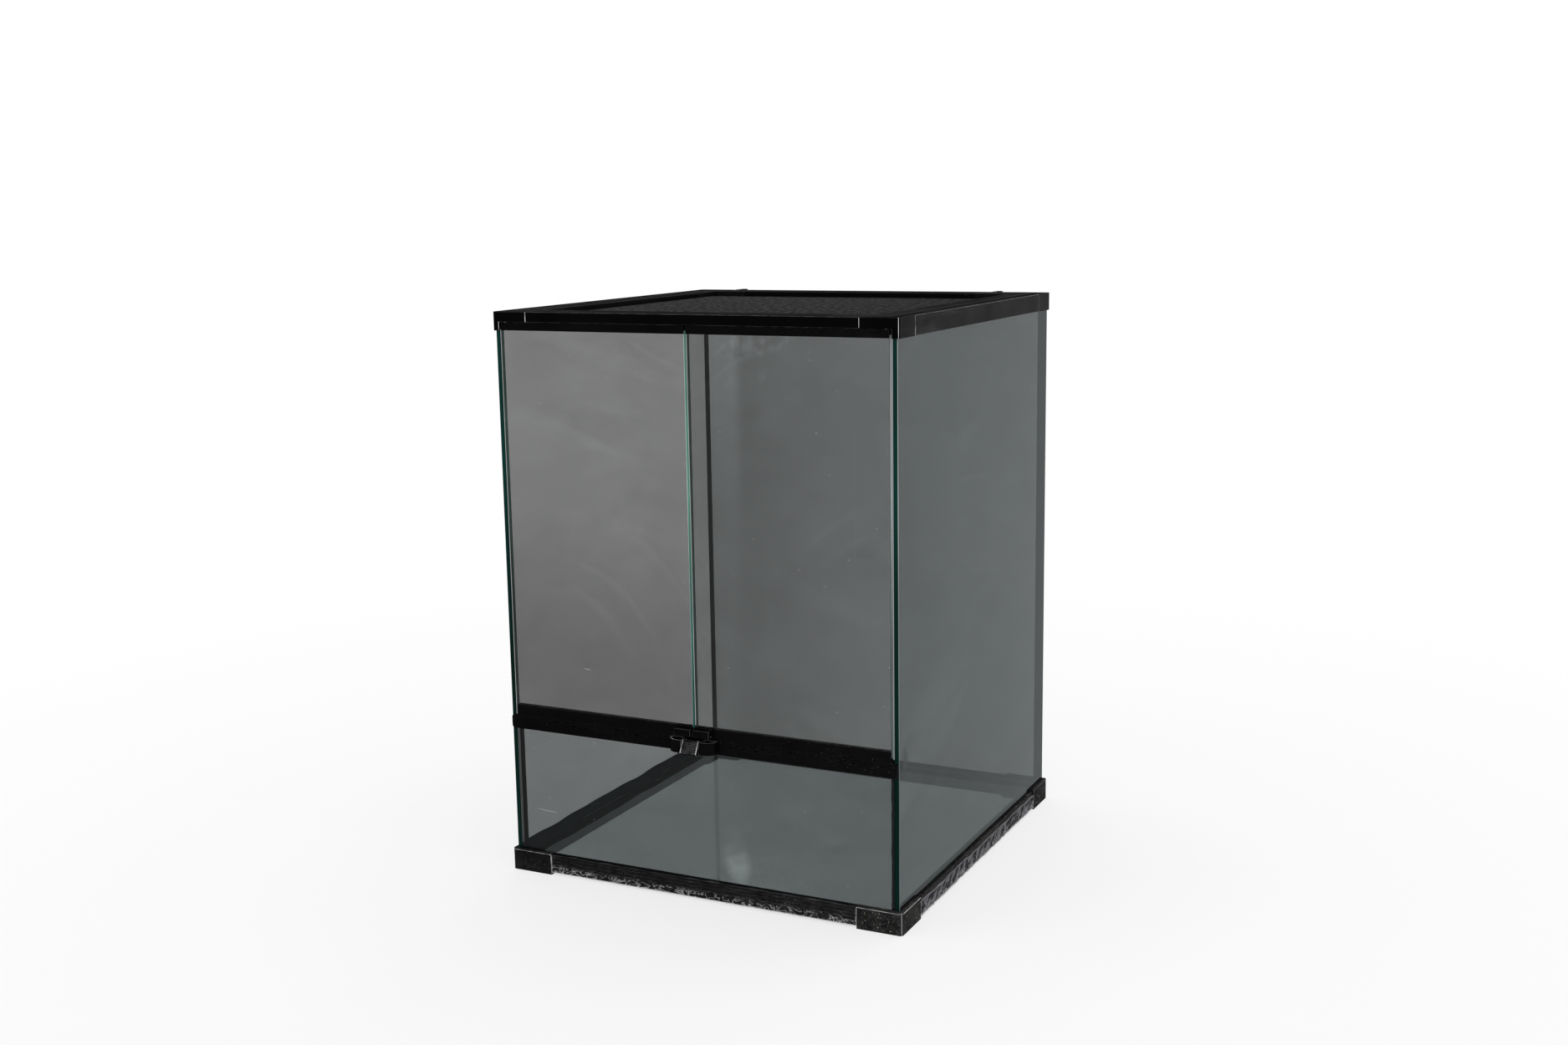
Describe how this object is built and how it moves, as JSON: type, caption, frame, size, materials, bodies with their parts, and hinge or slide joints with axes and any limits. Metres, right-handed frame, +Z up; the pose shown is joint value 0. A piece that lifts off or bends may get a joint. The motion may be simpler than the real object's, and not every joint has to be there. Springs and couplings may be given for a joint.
{
  "type": "reptile terrarium",
  "caption": "Front-opening glass terrarium with two hinged doors, a slotted vent rail, a push-down latch and a lift-out mesh screen top.",
  "frame": {"origin": "on the floor under the middle of the whole outline, which the latch makes 13 mm longer at the front", "axes": "+Z up, -Y towards the doors, +X to the right seen from the doors"},
  "size_m": [0.454, 0.467, 0.6012],
  "materials": {
    "frame_plastic": "satin moulded black",
    "strip_plastic": "smooth extruded black",
    "pane_glass": "clear float glass with green edges",
    "door_glass": "clear float glass with green edges",
    "clear_film": "thin clear wrap, creased",
    "sealant": "cured black sealant",
    "hinge_steel": "plain steel",
    "spring_wire": "bright wire",
    "mesh_wire": "black woven wire",
    "screen_frame": "satin black"
  },
  "bodies": {
    "housing": {"base_front_rail": "frame_plastic", "base_back_rail": "frame_plastic", "base_left_rail": "frame_plastic", "base_right_rail": "frame_plastic", "base_front_left_corner": "frame_plastic", "base_front_right_corner": "frame_plastic", "base_back_left_corner": "frame_plastic", "base_back_right_corner": "frame_plastic", "front_film": "clear_film", "back_film": "clear_film", "left_film": "clear_film", "right_film": "clear_film", "floor_glass": "pane_glass", "left_glass": "pane_glass", "right_glass": "pane_glass", "back_glass": "pane_glass", "lower_front_glass": "pane_glass", "front_seals": "sealant", "back_seals": "sealant", "floor_seals": "sealant", "vent_rail": "strip_plastic", "top_front_rail": "frame_plastic", "top_back_rail": "frame_plastic", "top_left_rail": "frame_plastic", "top_right_rail": "frame_plastic", "top_front_left_corner": "frame_plastic", "top_front_right_corner": "frame_plastic", "top_back_left_corner": "frame_plastic", "top_back_right_corner": "frame_plastic", "latch_cover": "strip_plastic", "latch_spring": "spring_wire"},
    "left_door": {"left_door_glass": "door_glass", "left_door_low_strip": "strip_plastic", "left_door_high_strip": "strip_plastic", "left_door_low_pin": "hinge_steel", "left_door_high_pin": "hinge_steel", "left_door_catch": "strip_plastic"},
    "right_door": {"right_door_glass": "door_glass", "right_door_low_strip": "strip_plastic", "right_door_high_strip": "strip_plastic", "right_door_low_pin": "hinge_steel", "right_door_high_pin": "hinge_steel", "right_door_catch": "strip_plastic"},
    "latch": {"latch_tab": "strip_plastic"},
    "screen": {"screen_front_bar": "screen_frame", "screen_back_bar": "screen_frame", "screen_left_bar": "screen_frame", "screen_right_bar": "screen_frame", "screen_front_left_corner": "screen_frame", "screen_front_right_corner": "screen_frame", "screen_back_left_corner": "screen_frame", "screen_back_right_corner": "screen_frame", "screen_mesh": "mesh_wire", "screen_clips": "strip_plastic"}
  },
  "joints": [
    {"name": "left_door_hinge", "type": "hinge", "parent": "housing", "child": "left_door", "pos_m": [-0.211, -0.2155, 0.38], "axis": [0, 0, -1], "range_deg": [0, 110]},
    {"name": "right_door_hinge", "type": "hinge", "parent": "housing", "child": "right_door", "pos_m": [0.211, -0.2155, 0.38], "axis": [0, 0, 1], "range_deg": [0, 110]},
    {"name": "latch_slide", "type": "slide", "parent": "housing", "child": "latch", "axis": [0, 0, -1], "range_m": [0, 0.005], "stiffness_N_per_m": 400, "springref_m": -0.004, "deforming": ["latch_spring"]},
    {"name": "screen_lift", "type": "slide", "parent": "housing", "child": "screen", "axis": [0, 0, 1], "range_m": [0, 0.08]}
  ]
}
